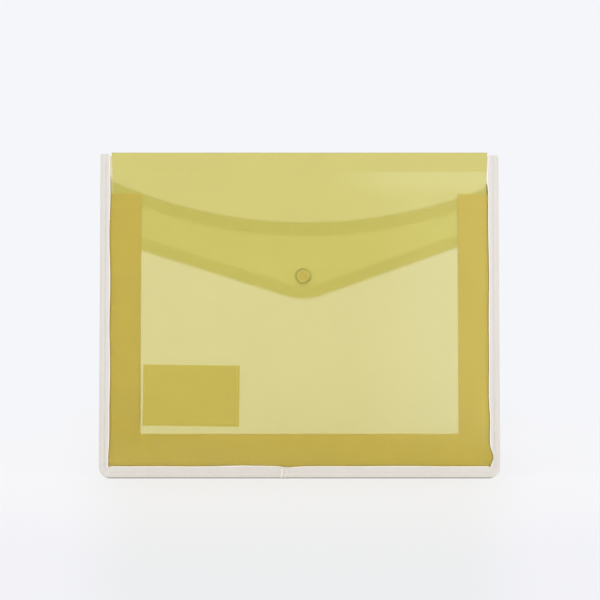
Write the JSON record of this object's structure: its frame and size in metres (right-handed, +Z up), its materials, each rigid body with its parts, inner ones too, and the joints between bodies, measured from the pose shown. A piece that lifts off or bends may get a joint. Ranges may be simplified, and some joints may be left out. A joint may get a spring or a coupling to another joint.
{
  "type": "expandable file bag",
  "caption": "Flat frosted film file bag with an inward-folding gusset down its sides and along its bottom, cloth-bound seams, a snapped V flap and a card pocket.",
  "frame": {"origin": "middle of the footprint, on the surface that the bag stands on", "axes": "+X along the bag's width, to the right when its back is looked at; +Y from the back towards the flap; +Z up"},
  "size_m": [0.374, 0.0142, 0.3048],
  "materials": {
    "film": "frosted translucent film, olive yellow",
    "hem": "folded and welded double film",
    "tape": "woven binding tape, cream",
    "snap": "moulded translucent plastic"
  },
  "bodies": {
    "root": {"back_panel": "film", "back_tape_left": "tape", "back_tape_right": "tape", "gusset_back_edge": "film", "card_pocket_back": "film", "card_pocket_front": "film"},
    "left_back_leaf": {"gusset_left_back": "film"},
    "left_front_leaf": {"gusset_left_front": "film"},
    "front": {"front_panel": "film", "mouth_hem": "hem", "front_tape_left": "tape", "front_tape_right": "tape", "gusset_front_edge": "film", "snap_stud": "snap", "snap_back_cap": "snap"},
    "right_back_leaf": {"gusset_right_back": "film"},
    "right_front_leaf": {"gusset_right_front": "film"},
    "bottom_back_leaf": {"gusset_bottom_back": "film"},
    "bottom_front_leaf": {"gusset_bottom_front": "film"},
    "top_strip": {"top_strip": "film", "top_tape_left": "tape", "top_tape_right": "tape"},
    "flap_crease": {"flap_crease": "film"},
    "flap": {"flap": "film", "flap_hem": "hem", "snap_cap": "snap", "snap_socket": "snap"}
  },
  "joints": [
    {"name": "gusset_open", "type": "hinge", "parent": "root", "child": "left_back_leaf", "pos_m": [-0.18, -0.0039, 0.15], "axis": [0, 0, 1], "range_deg": [0, 60]},
    {"name": "left_crease", "type": "hinge", "parent": "left_back_leaf", "child": "left_front_leaf", "pos_m": [-0.149, -0.00155, 0.15], "axis": [0, 0, 1], "range_deg": [-120, 0]},
    {"name": "left_front_seam", "type": "hinge", "parent": "left_front_leaf", "child": "front", "pos_m": [-0.18, 0.0008, 0.15], "axis": [0, 0, 1], "range_deg": [0, 60]},
    {"name": "right_back_seam", "type": "hinge", "parent": "root", "child": "right_back_leaf", "pos_m": [0.18, -0.0039, 0.15], "axis": [0, 0, 1], "range_deg": [-60, 0]},
    {"name": "right_crease", "type": "hinge", "parent": "right_back_leaf", "child": "right_front_leaf", "pos_m": [0.149, -0.00155, 0.15], "axis": [0, 0, 1], "range_deg": [0, 120]},
    {"name": "bottom_back_seam", "type": "hinge", "parent": "root", "child": "bottom_back_leaf", "pos_m": [0, -0.0039, 0.01], "axis": [1, 0, 0], "range_deg": [-60, 0]},
    {"name": "bottom_crease", "type": "hinge", "parent": "bottom_back_leaf", "child": "bottom_front_leaf", "pos_m": [0, -0.00155, 0.041], "axis": [1, 0, 0], "range_deg": [0, 120]},
    {"name": "top_score", "type": "hinge", "parent": "root", "child": "top_strip", "pos_m": [0, -0.00445, 0.287], "axis": [1, 0, 0], "range_deg": [-90, 0]},
    {"name": "top_fold", "type": "hinge", "parent": "top_strip", "child": "flap_crease", "pos_m": [0, -0.0043, 0.305], "axis": [1, 0, 0], "range_deg": [0, 171]},
    {"name": "flap_open", "type": "hinge", "parent": "flap_crease", "child": "flap", "pos_m": [0, -0.00198, 0.29937], "axis": [1, 0, 0], "range_deg": [0, 165]}
  ],
  "couplings": [
    {"joint": "left_crease", "follows": "gusset_open", "ratio": -2},
    {"joint": "left_front_seam", "follows": "gusset_open", "ratio": 1},
    {"joint": "right_back_seam", "follows": "gusset_open", "ratio": -1},
    {"joint": "right_crease", "follows": "gusset_open", "ratio": 2},
    {"joint": "bottom_back_seam", "follows": "gusset_open", "ratio": -1},
    {"joint": "bottom_crease", "follows": "gusset_open", "ratio": 2},
    {"joint": "top_score", "follows": "gusset_open", "ratio": -1.5},
    {"joint": "top_fold", "follows": "gusset_open", "ratio": 2.85}
  ]
}
